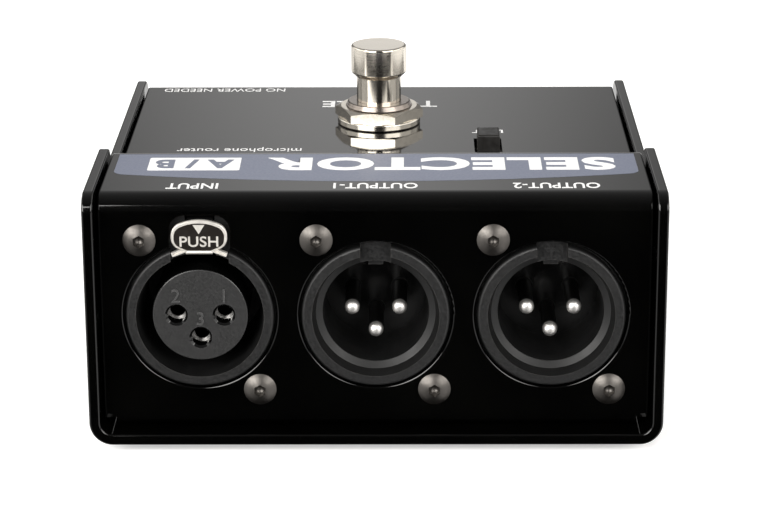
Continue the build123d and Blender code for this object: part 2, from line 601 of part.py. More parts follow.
def footswitch_lock_washer():
    """Toothed washer between the deck and the inner nut."""
    low_z = DECK_UNDERSIDE - 0.7
    washer = rod(7.2, (0, SWITCH_Y, low_z), (0, SWITCH_Y, DECK_UNDERSIDE))
    washer += [
        Pos(0, SWITCH_Y, low_z + 0.35) * Rot(0, 0, tooth * 30) * Pos(7.4, 0, 0) * Box(1.6, 1.8, 0.7)
        for tooth in range(12)
    ]
    return washer - rod(THREAD_R + 0.05, (0, SWITCH_Y, low_z), (0, SWITCH_Y, DECK_UNDERSIDE))


def footswitch_frame():
    """Sheet-metal bracket that holds the bushing to the case."""
    outer = CASE_HALF + FRAME_SHEET
    top = block((-outer, SWITCH_Y - 7, CASE_TOP), (outer, SWITCH_Y + 7, CASE_TOP + 2 * FRAME_SHEET))
    top -= block((-CASE_HALF, SWITCH_Y - 8, 0), (CASE_HALF, SWITCH_Y + 8, CASE_TOP + FRAME_SHEET))
    top -= rod(THREAD_R + 0.05, (0, SWITCH_Y, 0), (0, SWITCH_Y, CASE_TOP + 3))
    for side in (-1, 1):
        xs = sorted((side * CASE_HALF, side * outer))
        top += block((xs[0], SWITCH_Y - 3.5, CASE_BOTTOM - 0.8), (xs[1], SWITCH_Y + 3.5, CASE_TOP + 0.8))
        foot = sorted((side * (CASE_HALF - 1.4), side * outer))
        low = (foot[0], SWITCH_Y - 2, CASE_BOTTOM - FRAME_SHEET)
        top += block(low, (foot[1], SWITCH_Y + 2, CASE_BOTTOM))
    return top


def footswitch_case():
    """Moulded case, open at the top, with slots for the lugs in its floor."""
    half = CASE_HALF
    inner = half - CASE_WALL
    case = block((-half, SWITCH_Y - half, CASE_BOTTOM), (half, SWITCH_Y + half, CASE_TOP))
    upright = case.edges().filter_by(Axis.Z)
    case = fillet(upright, 0.8)
    case -= block((-inner, SWITCH_Y - inner, CASE_FLOOR), (inner, SWITCH_Y + inner, CASE_TOP))
    for x, y in lug_places():
        case -= block((x - 0.35, y - 1.05, CASE_BOTTOM), (x + 0.35, y + 1.05, CASE_FLOOR))
    return case


def lug_places():
    """Two rows of three lugs."""
    return [(x, SWITCH_Y + y) for x in (-LUG_X, LUG_X) for y in (-LUG_PITCH, 0, LUG_PITCH)]


def footswitch_lug(x, y):
    """Flat solder lug with a hole near its lower end."""
    lug = block((x - 0.3, y - 1.0, LUG_BOTTOM), (x + 0.3, y + 1.0, LUG_TOP))
    return lug - rod(0.5, (x - 1, y, LUG_BOTTOM + 1.6), (x + 1, y, LUG_BOTTOM + 1.6))


# ---------------------------------------------------------------- slide switch
def slide_can():
    """Metal can with two ears, a window in its top and an open bottom."""
    low_y = SLIDE_Y - CAN_HALF_LENGTH
    high_y = SLIDE_Y + CAN_HALF_LENGTH
    can = block((SLIDE_X - CAN_HALF_WIDTH, low_y, CAN_BOTTOM), (SLIDE_X + CAN_HALF_WIDTH, high_y, DECK_UNDERSIDE))
    inner_x = CAN_HALF_WIDTH - CAN_SHEET
    can -= block(
        (SLIDE_X - inner_x, low_y + CAN_SHEET, CAN_BOTTOM),
        (SLIDE_X + inner_x, high_y - CAN_SHEET, DECK_UNDERSIDE - CAN_SHEET),
    )
    can += block(
        (SLIDE_X - 2.6, SLIDE_Y - EAR_HALF_LENGTH, DECK_UNDERSIDE - CAN_SHEET),
        (SLIDE_X + 2.6, SLIDE_Y + EAR_HALF_LENGTH, DECK_UNDERSIDE),
    )
    can -= Pos(SLIDE_X, SLIDE_Y, DECK_UNDERSIDE) * Box(KNOB_WIDTH + 0.6, WINDOW_LENGTH, 3)
    for y in stud_ys():
        can -= rod(STUD_R + 0.1, (SLIDE_X, y, CAN_BOTTOM), (SLIDE_X, y, DECK_UNDERSIDE))
    return can


def stud_ys():
    return (SLIDE_Y - STUD_OFFSET, SLIDE_Y + STUD_OFFSET)


def slide_knob():
    """Finger piece and the plate under the window that it slides on."""
    half_x = KNOB_WIDTH / 2
    half_y = KNOB_LENGTH / 2
    plate_low = (SLIDE_X - 2.8, KNOB_REST_Y - 5.5, DECK_UNDERSIDE - CAN_SHEET - 1.1)
    plate_high = (SLIDE_X + 2.8, KNOB_REST_Y + 5.5, DECK_UNDERSIDE - CAN_SHEET - 0.1)
    finger = block(
        (SLIDE_X - half_x, KNOB_REST_Y - half_y, DECK_UNDERSIDE - CAN_SHEET - 0.5),
        (SLIDE_X + half_x, KNOB_REST_Y + half_y, KNOB_TOP),
    )
    top_face = finger.faces().sort_by(Axis.Z)[-1]
    return fillet(top_face.edges(), 0.35) + block(plate_low, plate_high)


def slide_wiper():
    """Sprung brass contact under the knob's plate."""
    top_z = DECK_UNDERSIDE - CAN_SHEET - 1.1
    strip = block((SLIDE_X - 2.2, KNOB_REST_Y - 4.2, top_z - 0.5), (SLIDE_X + 2.2, KNOB_REST_Y + 4.2, top_z))
    for x in (SLIDE_X - 1.4, SLIDE_X + 1.4):
        for y in (KNOB_REST_Y - 3, KNOB_REST_Y + 3):
            strip += cone(0.5, 0.3, (x, y, top_z - 0.5), (x, y, top_z - 1.7))
    return strip


def slide_base():
    """Insulating plate that closes the can and carries the terminals."""
    half_x = CAN_HALF_WIDTH - CAN_SHEET - 0.02
    half_y = CAN_HALF_LENGTH - CAN_SHEET - 0.02
    top_z = CAN_BOTTOM + 1.4
    plate = block((SLIDE_X - half_x, SLIDE_Y - half_y, CAN_BOTTOM), (SLIDE_X + half_x, SLIDE_Y + half_y, top_z))
    for x, y in slide_lug_places():
        plate -= block((x - 0.26, y - 0.61, CAN_BOTTOM), (x + 0.26, y + 0.61, top_z))
    return plate


def slide_lug_places():
    """Two rows of three terminals."""
    return [(SLIDE_X + x, SLIDE_Y + y) for x in (-1.4, 1.4) for y in (-4.0, 0, 4.0)]


def slide_lug(x, y):
    """Flat terminal with a riveted head inside the can."""
    head_low = CAN_BOTTOM + 1.4
    blade = block((x - 0.25, y - 0.6, SLIDE_LUG_BOTTOM), (x + 0.25, y + 0.6, head_low))
    return blade + block((x - 0.6, y - 1.0, head_low), (x + 0.6, y + 1.0, head_low + 0.3))


def slide_stud_nut(y):
    """Small hexagon nut under an ear of the slide switch."""
    low_z = DECK_UNDERSIDE - CAN_SHEET - 1.6
    prism = extrude(Pos(SLIDE_X, y, low_z) * RegularPolygon(2.0, 6, major_radius=False), 1.6)
    return prism - rod(STUD_R + 0.03, (SLIDE_X, y, low_z), (SLIDE_X, y, low_z + 1.6))


# ---------------------------------------------------------------- circuit board
def main_board():
    """Board that the three connectors are soldered to."""
    low = (-BOARD_HALF_WIDTH, BOARD_FRONT, BOARD_TOP - BOARD_THICKNESS)
    board = block(low, (BOARD_HALF_WIDTH, BOARD_BACK, BOARD_TOP))
    for x in PORT_XS:
        for dx, _ in CONTACT_OFFSETS:
            board -= rod(0.6, (x + dx, TAIL_Y, low[2]), (x + dx, TAIL_Y, BOARD_TOP))
        for peg_x in (x - 10, x + 10):
            board -= rod(0.85, (peg_x, 14, low[2]), (peg_x, 14, BOARD_TOP))
    for x, y in resistor_places():
        for lead_y in (y - 5, y + 5):
            board -= rod(0.4, (x, lead_y, low[2]), (x, lead_y, BOARD_TOP))
    return board


def resistor_places():
    return [(x, 30.5) for x in (-34, -22, 22, 34)]


def resistor(x, y):
    """Axial resistor standing just off the board, on one bent lead that runs through its body."""
    radius = 1.1
    lead_r = 0.3
    axis_z = BOARD_TOP + radius + 0.1
    ends = [(x, y - 5, TAIL_BOTTOM), (x, y - 5, axis_z), (x, y + 5, axis_z), (x, y + 5, TAIL_BOTTOM)]
    lead = round_wire(ends, [0.8, 0.8], lead_r)
    body = rod(radius, (x, y - 3.1, axis_z), (x, y + 3.1, axis_z))
    return fillet(body.edges().filter_by(GeomType.CIRCLE), 0.4) + lead


def round_wire(points, radii, radius):
    """Round wire along straight runs joined by tangent arcs."""
    path = FilletPolyline(points, radius=radii)
    section = Plane(origin=path @ 0, z_dir=path % 0) * Circle(radius)
    return sweep(section, path=path)


def footswitch_wires():
    """Four wires from the front and middle lugs, down onto pads at the rear of the board."""
    lie_z = BOARD_TOP + WIRE_R
    wires = []
    for side in (-1, 1):
        front_y = SWITCH_Y - LUG_PITCH - 1.3
        start = (side * LUG_X, front_y, LUG_BOTTOM + 1.6)
        bend = (side * 6.5, 47.5, lie_z)
        end = (side * 7.5, BOARD_BACK - 3.5, lie_z)
        wires.append(round_wire([start, bend, end], [26], WIRE_R))
        outer_x = side * (LUG_X + 0.4 + WIRE_R)
        start = (outer_x, SWITCH_Y, LUG_BOTTOM + 1.6)
        bends = [(side * 10.5, 56.0, LUG_BOTTOM - 0.2), (side * 11.5, 46.5, lie_z)]
        end = (side * 12, BOARD_BACK - 3.5, lie_z)
        wires.append(round_wire([start, *bends, end], [14, 18], WIRE_R))
    return wires


def slide_wires():
    """Two wires from the slide switch's front terminals, down onto pads on the board."""
    lie_z = BOARD_TOP + WIRE_R
    y = SLIDE_Y - 4.0 - 0.6 - WIRE_R
    wires = []
    for dx, end_x in ((-1.4, 16.0), (1.4, 19.0)):
        x = SLIDE_X + dx
        start = (x, y, SLIDE_LUG_BOTTOM + 1.5)
        bends = [(x, y - 0.5, 17.0), (end_x + 0.3, y - 5.0, lie_z)]
        wires.append(round_wire([start, *bends, (end_x, 30.0, lie_z)], [9, 7], WIRE_R))
    return wires


# ---------------------------------------------------------------- write the nodes
def write_box():
    save("base_shell", base_shell())
    save("base_pad", base_pad())
    save("top_cover", top_cover())
    save("cover_screws", *[cover_screw(x, y) for x, y in cover_screw_places()])
    save("flange_nuts", *[flange_nut(x, y) for x, y in cover_screw_places()])


def write_connectors():
    save("connector_screws", *[connector_screw(x, z) for x, z in connector_screw_places()])
    save("input_housing", input_housing())
    save("input_insert", input_insert())
    save("input_contacts", *[input_contact(dx, dz) for dx, dz in CONTACT_OFFSETS])
    for number, x in enumerate(PORT_XS[1:], start=1):
        save(f"output_{number}_housing", output_housing(x))
        save(f"output_{number}_insert", output_insert(x))
        save(f"output_{number}_pins", *[output_pin(x + dx, PORT_Z + dz) for dx, dz in CONTACT_OFFSETS])


def write_latch():
    save("input_latch", input_latch())
    save("input_latch_inlay", latch_inlay())
    save("input_latch_pin", latch_pin())
    spring_y = (LATCH_HOOK_FRONT + LATCH_HOOK_BACK) / 2 - 0.4
    save("input_latch_spring", coil(0.95, 0.16, 4, LATCH_X, spring_y, LATCH_ARM_HIGH, LATCH_ROOF))


def write_footswitch():
    nut_bottom = LOWER_DECK + WASHER_THICKNESS
    inner_nut_top = DECK_UNDERSIDE - 0.7
    bore = THREAD_R + 0.03
    save("footswitch_cap", footswitch_cap())
    save("footswitch_plunger", footswitch_plunger())
    save("footswitch_bridge", footswitch_bridge())
    save("footswitch_spring", coil(2.1, 0.3, 5, 0, SWITCH_Y, CASE_FLOOR, PLUNGER_BOTTOM))
    save("footswitch_bushing", footswitch_bushing())
    save("footswitch_nut", hexagon_nut(NUT_FLATS, bore, nut_bottom, nut_bottom + NUT_HEIGHT, NUT_TURN))
    save("footswitch_washer", ring(THREAD_R + 0.1, WASHER_R, LOWER_DECK, nut_bottom))
    save("footswitch_lock_washer", footswitch_lock_washer())
    save("footswitch_inner_nut", hexagon_nut(NUT_FLATS, bore, inner_nut_top - 2.1, inner_nut_top, 20))
    save("footswitch_frame", footswitch_frame())
    save("footswitch_case", footswitch_case())
    save("footswitch_lugs", *[footswitch_lug(x, y) for x, y in lug_places()])


def write_slide_switch():
    save("slide_switch_can", slide_can())
    save("slide_switch_knob", slide_knob())
    save("slide_switch_wiper", slide_wiper())
    save("slide_switch_base", slide_base())
    save("slide_switch_terminals", *[slide_lug(x, y) for x, y in slide_lug_places()])
    stud_bottom = DECK_UNDERSIDE - 3.0
    studs = [rod(STUD_R, (SLIDE_X, y, stud_bottom), (SLIDE_X, y, DECK_UNDERSIDE)) for y in stud_ys()]
    save("slide_switch_studs", *studs)
    save("slide_switch_nuts", *[slide_stud_nut(y) for y in stud_ys()])


def write_board():
    save("main_board", main_board())
    save("board_resistors", *[resistor(x, y) for x, y in resistor_places()])
    save("footswitch_wires", *footswitch_wires())
    save("slide_switch_wires", *slide_wires())


os.makedirs("parts", exist_ok=True)
write_box()
write_connectors()
write_latch()
write_footswitch()
write_slide_switch()
write_board()
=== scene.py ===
from math import cos, pi, radians, sin, sqrt

import bmesh
import bpy
from mathutils import Matrix, Vector


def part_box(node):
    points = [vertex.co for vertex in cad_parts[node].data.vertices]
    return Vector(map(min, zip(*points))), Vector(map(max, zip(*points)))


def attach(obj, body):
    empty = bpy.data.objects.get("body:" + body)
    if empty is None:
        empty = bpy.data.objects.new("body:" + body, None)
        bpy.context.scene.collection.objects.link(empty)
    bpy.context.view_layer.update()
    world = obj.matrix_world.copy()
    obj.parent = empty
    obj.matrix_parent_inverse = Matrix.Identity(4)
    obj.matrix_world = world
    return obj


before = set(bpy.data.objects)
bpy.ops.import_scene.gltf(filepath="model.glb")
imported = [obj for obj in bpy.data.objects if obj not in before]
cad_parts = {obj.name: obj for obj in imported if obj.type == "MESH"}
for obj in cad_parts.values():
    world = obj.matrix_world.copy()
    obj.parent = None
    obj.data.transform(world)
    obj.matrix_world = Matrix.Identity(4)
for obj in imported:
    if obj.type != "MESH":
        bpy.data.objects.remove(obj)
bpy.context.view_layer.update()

MM = 0.001

# ---------------------------------------------------------------- places taken from the frame
COVER_LOW, COVER_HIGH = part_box("top_cover")
INLAY_LOW, INLAY_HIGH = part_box("input_latch_inlay")
FACE_Y = COVER_LOW.y
UPPER_DECK_Z = COVER_HIGH.z
LOWER_DECK_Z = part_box("footswitch_washer")[0].z
INSERT_FRONT_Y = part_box("input_insert")[0].y
SOCKET_FRONT_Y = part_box("input_contacts")[0].y
PIN_TIP_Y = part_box("output_1_pins")[0].y
PORT_XS = [sum(corner.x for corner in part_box(node)) / 2
           for node in ("input_housing", "output_1_housing", "output_2_housing")]
PORT_Z = sum(corner.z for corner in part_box("output_1_insert")) / 2

# ---------------------------------------------------------------- sizes of the print
# Places and sizes are in millimetres: x from the middle, y back from the connector face.
INK_THICKNESS = 0.02 * MM
INK_GAP = 0.004 * MM             # keeps one layer of ink off the next
BAND_HALF_WIDTH = 43.05
BAND_BACK = 24.0
BAND_FRONT = 8.1
BAND_BOW = 0.0024                # how fast the band's front edge bows back, per millimetre squared
BAND_CORNER = 1.4
BAND_STEPS = 60
CORNER_STEPS = 6
TITLE_X = 10.7
TITLE_Y = 18.1
TITLE_SIZE = (57.6 * MM, 7.5 * MM)
PLATE_X = -30.1
PLATE_HALF_WIDTH = 7.6
PLATE_HALF_DEPTH = 3.7
PLATE_CORNER = 0.3
PLATE_LETTERS = (13.0 * MM, 5.2 * MM)
PORT_LABEL_Y = 5.5
PORT_LABEL_HEIGHT = 3.0
RAISED = 0.12 * MM               # how far the latch's word stands up


# ---------------------------------------------------------------- material helpers
class Surface:
    """A principled material with helpers for noise, ramps and bump in the object's own coordinates."""

    def __init__(self, name, **sockets):
        self.material = bpy.data.materials.new(name)
        self.material.use_nodes = True
        self.tree = self.material.node_tree
        self.shader = self.tree.nodes["Principled BSDF"]
        coordinates = self.node("ShaderNodeTexCoord")
        self.place = coordinates.outputs["Object"]
        self.facing = coordinates.outputs["Normal"]
        for socket, value in sockets.items():
            self.shader.inputs[socket.replace("_", " ")].default_value = value

    def node(self, kind, **settings):
        made = self.tree.nodes.new(kind)
        for name, value in settings.items():
            setattr(made, name, value)
        return made

    def link(self, output, target):
        self.tree.links.new(output, target)

    def stretched(self, scale):
        """The object's coordinates, scaled unevenly."""
        mapping = self.node("ShaderNodeMapping")
        mapping.inputs["Scale"].default_value = scale
        self.link(self.place, mapping.inputs["Vector"])
        return mapping.outputs["Vector"]

    def noise(self, per_metre, detail=3.0, roughness=0.5, vector=None):
        """Noise with that many features to the metre, from 0 to 1."""
        noise = self.node("ShaderNodeTexNoise")
        noise.inputs["Scale"].default_value = per_metre
        noise.inputs["Detail"].default_value = detail
        noise.inputs["Roughness"].default_value = roughness
        self.link(vector or self.place, noise.inputs["Vector"])
        return noise.outputs["Fac"]

    def spread(self, value, low_in, high_in, low_out, high_out):
        """value, mapped from one range to another and clamped."""
        mapped = self.node("ShaderNodeMapRange")
        for socket, number in zip(("From Min", "From Max", "To Min", "To Max"),
                                  (low_in, high_in, low_out, high_out)):
            mapped.inputs[socket].default_value = number
        self.link(value, mapped.inputs["Value"])
        return mapped.outputs["Result"]

    def mixed(self, factor, first, second):
        """Colour between two colours or sockets."""
        mix = self.node("ShaderNodeMix", data_type="RGBA")
        for name, value in (("A", first), ("B", second)):
            socket = colour_socket(mix.inputs, name)
            if isinstance(value, tuple):
                socket.default_value = (*value, 1.0)
            else:
                self.link(value, socket)
        self.link(factor, mix.inputs["Factor"])
        return colour_socket(mix.outputs, "Result")

    def facing_front(self):
        """1 on faces that look forwards or backwards, 0 on the walls of rings and holes."""
        split = self.node("ShaderNodeSeparateXYZ")
        self.link(self.facing, split.inputs["Vector"])
        size = self.node("ShaderNodeMath", operation="ABSOLUTE")
        self.link(split.outputs["Y"], size.inputs[0])
        return self.spread(size.outputs["Value"], 0.80, 0.95, 0.0, 1.0)

    def between(self, factor, first, second):
        """Number between two sockets."""
        mix = self.node("ShaderNodeMix", data_type="FLOAT")
        for name, socket in (("Factor", factor), ("A", first), ("B", second)):
            self.link(socket, mix.inputs[name])
        return mix.outputs["Result"]

    def colour(self, socket):
        self.link(socket, self.shader.inputs["Base Color"])

    def roughness(self, socket):
        self.link(socket, self.shader.inputs["Roughness"])

    def bump(self, height, depth, strength=1.0):
        """Bump from a height socket; depth is how far white stands over black, in metres."""
        bump = self.node("ShaderNodeBump")
        bump.inputs["Strength"].default_value = strength
        bump.inputs["Distance"].default_value = depth
        self.link(height, bump.inputs["Height"])
        self.link(bump.outputs["Normal"], self.shader.inputs["Normal"])

    def edges(self, radius):
        """1 on outer edges, falling to 0 within radius of them."""
        bevel = self.node("ShaderNodeBevel", samples=6)
        bevel.inputs["Radius"].default_value = radius
        geometry = self.node("ShaderNodeNewGeometry")
        dot = self.node("ShaderNodeVectorMath", operation="DOT_PRODUCT")
        self.link(bevel.outputs["Normal"], dot.inputs[0])
        self.link(geometry.outputs["Normal"], dot.inputs[1])
        return self.spread(dot.outputs["Value"], 0.995, 0.8, 0.0, 1.0)


def colour_socket(sockets, name):
    """The colour socket of that name; a mix node also has float and vector ones."""
    return next(socket for socket in sockets if socket.name == name and socket.type == "RGBA")


# ---------------------------------------------------------------- materials
def enamel(name):
    """Gloss black enamel on steel: faint orange peel, a little dust haze, edges slightly thinner."""
    surface = Surface(name, IOR=1.5)
    haze = surface.spread(surface.noise(60, detail=4), 0.35, 0.7, 0, 1)
    black = surface.mixed(haze, (0.0003, 0.0003, 0.0003), (0.0008, 0.0008, 0.0007))
    surface.colour(surface.mixed(surface.edges(0.35 * MM), black, (0.004, 0.0036, 0.0033)))
    specks = surface.noise(2600, detail=2)
    surface.roughness(surface.spread(specks, 0.3, 0.75, 0.045, 0.085))
    surface.bump(surface.noise(420, detail=1.5), 0.004 * MM, 0.5)
    return surface.material


def rubber():
    """Dense foamed rubber with a fine open grain."""
    surface = Surface("pad_foam_rubber")
    grain = surface.noise(1500, detail=5, roughness=0.65)
    surface.colour(surface.mixed(grain, (0.010, 0.010, 0.010), (0.035, 0.034, 0.033)))
    surface.roughness(surface.spread(grain, 0.2, 0.8, 0.7, 0.95))
    surface.bump(grain, 0.15 * MM)
    return surface.material


def plated(name, tint, low_rough, high_rough, depth=0.002):
    """Plated metal with a fine uneven lustre."""
    surface = Surface(name, Metallic=1.0)
    cloud = surface.noise(900, detail=4)
    dull = tuple(channel * 0.86 for channel in tint)
    surface.colour(surface.mixed(surface.spread(cloud, 0.3, 0.7, 0, 1), tint, dull))
    surface.roughness(surface.spread(surface.noise(2430), 0.3, 0.7, low_rough, high_rough))
    surface.bump(surface.noise(3600), depth * MM, 0.6)
    return surface.material


def turned_metal(name, tint, low_rough, high_rough):
    """Plated metal with fine turning marks round the footswitch's upright axis.

    The marks draw reflections out a little along that axis.
    """
    surface = Surface(name, Metallic=1.0, Anisotropic=0.35, Anisotropic_Rotation=0.25)
    tangent = surface.node("ShaderNodeTangent", direction_type="RADIAL", axis="Z")
    surface.link(tangent.outputs["Tangent"], surface.shader.inputs["Tangent"])
    rings = surface.noise(1.0, detail=3, vector=surface.stretched((120, 120, 9000)))
    surface.colour(surface.mixed(rings, tint, tuple(channel * 0.94 for channel in tint)))
    surface.roughness(surface.spread(rings, 0.3, 0.7, low_rough, high_rough))
    surface.bump(rings, 0.0003 * MM, 0.3)
    return surface.material


def nylon(name, dark, light, low_rough, high_rough, depth=0.012):
    """Moulded nylon with a fine spark-eroded grain and paler edges, a painted highlight along them."""
    surface = Surface(name, IOR=1.5)
    grain = surface.noise(3200, detail=3, roughness=0.6)
    body = surface.mixed(surface.spread(grain, 0.3, 0.7, 0, 1), dark, light)
    # paler edges: a painted highlight, lighter than the nylon itself
    painted_edge_highlight = tuple(channel * 2.2 + 0.003 for channel in light)
    surface.colour(surface.mixed(surface.edges(0.25 * MM), body, painted_edge_highlight))
    surface.roughness(surface.spread(surface.noise(900), 0.3, 0.7, low_rough, high_rough))
    surface.bump(grain, depth * MM, 0.7)
    return surface.material


def bored_nylon(name, ior, grain_scale, contrast, tones, painted_edge_highlight, painted_bore_shade, satin, polish, depth):
    """Nylon grained on the faces that look forwards, with paler edges as a painted highlight; darker on
    the walls of its bores, a painted shade, and smoother there.
    """
    surface = Surface(name, IOR=ior)
    front = surface.facing_front()
    grain = surface.noise(grain_scale, detail=3, roughness=0.6)
    body = surface.mixed(surface.spread(grain, 0.5 - contrast, 0.5 + contrast, 0, 1), *tones)
    # paler edges on the forward faces: a painted highlight
    face = surface.mixed(surface.edges(0.2 * MM), body, painted_edge_highlight)
    # walls of the bores darkened: a painted shade inside them
    surface.colour(surface.mixed(front, painted_bore_shade, face))
    wall_rough = surface.spread(surface.noise(500), 0.3, 0.7, *polish)
    face_rough = surface.spread(grain, 0.3, 0.7, *satin)
    surface.roughness(surface.between(front, wall_rough, face_rough))
    surface.bump(grain, depth * MM, 0.6)
    return surface.material


def ring_nylon():
    """Black nylon of the connector bodies, satin all over."""
    return bored_nylon("connector_nylon", ior=1.45, grain_scale=2800, contrast=0.15,
                       tones=((0.004, 0.004, 0.0042), (0.013, 0.013, 0.0132)),
                       # paler edges are a painted highlight, the darker bore walls a painted shade
                       painted_edge_highlight=(0.035, 0.034, 0.032), painted_bore_shade=(0.0012, 0.0012, 0.0013),
                       satin=(0.36, 0.5), polish=(0.5, 0.6), depth=0.008)


def insert_nylon():
    """Dark grey nylon of the input's insert, polished in its holes."""
    return bored_nylon("insert_nylon", ior=1.5, grain_scale=3000, contrast=0.2,
                       tones=((0.010, 0.010, 0.0102), (0.018, 0.018, 0.0182)),
                       # paler edges are a painted highlight, the darker hole walls a painted shade
                       painted_edge_highlight=(0.045, 0.045, 0.045), painted_bore_shade=(0.002, 0.002, 0.002),
                       satin=(0.38, 0.5), polish=(0.08, 0.14), depth=0.010)


def dull_inside(name, tint, low_rough, high_rough, bright_to, painted_shade_from):
    """Plated metal, bright near the connector face and darkened further in, a painted shade inside the
    connector and behind its face.
    """
    surface = Surface(name, Metallic=1.0)
    cloud = surface.noise(1400, detail=4)
    worn = tuple(channel * 0.86 for channel in tint)
    bright = surface.mixed(surface.spread(cloud, 0.3, 0.7, 0, 1), tint, worn)
    place = surface.node("ShaderNodeSeparateXYZ")
    surface.link(surface.place, place.inputs["Vector"])
    # painted shade: the metal turns near black the further it lies inside
    inside = surface.spread(place.outputs["Y"], bright_to, painted_shade_from, 0.0, 1.0)
    surface.colour(surface.mixed(inside, bright, (0.02, 0.02, 0.02)))
    surface.roughness(surface.spread(surface.noise(2600), 0.3, 0.7, low_rough, high_rough))
    surface.bump(surface.noise(5200), 0.002 * MM, 0.6)
    return surface.material


def ink(name, colour, shade):
    """Screen-printed ink, a touch uneven, slightly less glossy than the paint under it."""
    surface = Surface(name, IOR=1.45)
    surface.colour(surface.mixed(surface.noise(700, detail=5), colour, shade))
    surface.roughness(surface.spread(surface.noise(2500), 0.3, 0.7, 0.28, 0.4))
    surface.bump(surface.noise(4200), 0.002 * MM, 0.6)
    return surface.material


def board_mask():
    """Green solder mask with paler copper tracks showing through."""
    surface = Surface("board_solder_mask")
    tracks = surface.node("ShaderNodeTexWave", wave_type="BANDS", bands_direction="X")
    tracks.inputs["Scale"].default_value = 60
    tracks.inputs["Distortion"].default_value = 1.5
    surface.link(surface.place, tracks.inputs["Vector"])
    factor = surface.spread(tracks.outputs["Fac"], 0.7, 0.75, 0, 1)
    surface.colour(surface.mixed(factor, (0.008, 0.075, 0.03), (0.02, 0.14, 0.06)))
    surface.roughness(surface.spread(surface.noise(600), 0.3, 0.7, 0.22, 0.4))
    surface.bump(factor, 0.03 * MM)
    return surface.material


def insulation(name, colour):
    """Extruded wire insulation."""
    surface = Surface(name, IOR=1.5)
    scuffs = surface.noise(800, detail=4)
    surface.colour(surface.mixed(scuffs, colour, tuple(channel * 0.7 for channel in colour)))
    surface.roughness(surface.spread(scuffs, 0.3, 0.7, 0.3, 0.5))
    surface.bump(scuffs, 0.01 * MM)
    return surface.material


def resistor_lacquer():
    """Blue lacquer with darker rings."""
    surface = Surface("resistor_lacquer", IOR=1.5)
    bands = surface.node("ShaderNodeTexWave", wave_type="BANDS", bands_direction="Y")
    bands.inputs["Scale"].default_value = 190
    surface.link(surface.place, bands.inputs["Vector"])
    factor = surface.spread(bands.outputs["Fac"], 0.72, 0.8, 0, 1)
    surface.colour(surface.mixed(factor, (0.09, 0.25, 0.42), (0.08, 0.03, 0.02)))
    surface.roughness(surface.spread(surface.noise(900), 0.3, 0.7, 0.25, 0.4))
    surface.bump(surface.noise(1500), 0.02 * MM)
    return surface.material


def dress_nodes():
    """Give every CAD node its material."""
    nickel = (0.85, 0.79, 0.69)
    steel = (0.62, 0.61, 0.59)
    silver = (0.95, 0.93, 0.90)
    looks = [
        (enamel("gloss_black_enamel"), ["base_shell", "top_cover"]),
        (rubber(), ["base_pad"]),
        (plated("dark_zinc", (0.115, 0.107, 0.099), 0.34, 0.46), ["cover_screws", "connector_screws"]),
        (plated("bright_zinc", steel, 0.2, 0.35),
         ["flange_nuts", "input_latch_pin", "footswitch_lock_washer", "slide_switch_studs",
          "slide_switch_nuts"]),
        (plated("spring_wire", steel, 0.15, 0.25), ["input_latch_spring", "footswitch_spring"]),
        (ring_nylon(), ["input_housing", "output_1_housing", "output_2_housing"]),
        (insert_nylon(), ["input_insert"]),
        (nylon("floor_nylon", (0.001, 0.001, 0.001), (0.003, 0.003, 0.003), 0.14, 0.24, 0.004),
         ["output_1_insert", "output_2_insert"]),
        # contacts, pins and latch get painted shade inside their holes and behind the face
        (dull_inside("socket_silver", silver, 0.26, 0.36,
                     bright_to=SOCKET_FRONT_Y + 0.3 * MM, painted_shade_from=SOCKET_FRONT_Y + 0.5 * MM),
         ["input_contacts"]),
        (dull_inside("pin_silver", silver, 0.42, 0.5,
                     bright_to=PIN_TIP_Y + 1.2 * MM, painted_shade_from=PIN_TIP_Y + 1.7 * MM),
         ["output_1_pins", "output_2_pins"]),
        (dull_inside("latch_nickel", (0.88, 0.85, 0.80), 0.52, 0.62,
                     bright_to=FACE_Y - 0.45 * MM, painted_shade_from=FACE_Y),
         ["input_latch"]),
        (nylon("latch_enamel", (0.004, 0.003, 0.0025), (0.010, 0.007, 0.005), 0.3, 0.4),
         ["input_latch_inlay"]),
        (turned_metal("button_nickel", nickel, 0.13, 0.19), ["footswitch_cap"]),
        (turned_metal("bushing_nickel", (0.30, 0.26, 0.23), 0.22, 0.3), ["footswitch_bushing"]),
        (plated("nut_nickel", nickel, 0.15, 0.21, depth=0.0004),
         ["footswitch_nut", "footswitch_washer", "footswitch_inner_nut"]),
        (plated("tinned_brass", (0.75, 0.73, 0.68), 0.25, 0.4),
         ["footswitch_lugs", "slide_switch_terminals"]),
        (plated("nickel_sheet", steel, 0.22, 0.35), ["footswitch_frame", "slide_switch_can"]),
        (plated("bare_brass", (0.80, 0.60, 0.28), 0.18, 0.3), ["footswitch_bridge", "slide_switch_wiper"]),
        (nylon("switch_phenolic", (0.02, 0.018, 0.016), (0.04, 0.036, 0.03), 0.4, 0.6),
         ["footswitch_case", "footswitch_plunger", "slide_switch_base"]),
        (nylon("knob_plastic", (0.004, 0.0036, 0.0032), (0.009, 0.008, 0.007), 0.35, 0.5),
         ["slide_switch_knob"]),
        (board_mask(), ["main_board"]),
        (resistor_lacquer(), ["board_resistors"]),
        (insulation("red_insulation", (0.45, 0.02, 0.015)), ["footswitch_wires"]),
        (insulation("blue_insulation", (0.02, 0.06, 0.35)), ["slide_switch_wires"]),
    ]
    for material, names in looks:
        for name in names:
            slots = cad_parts[name].data.materials
            slots.clear()
            slots.append(material)


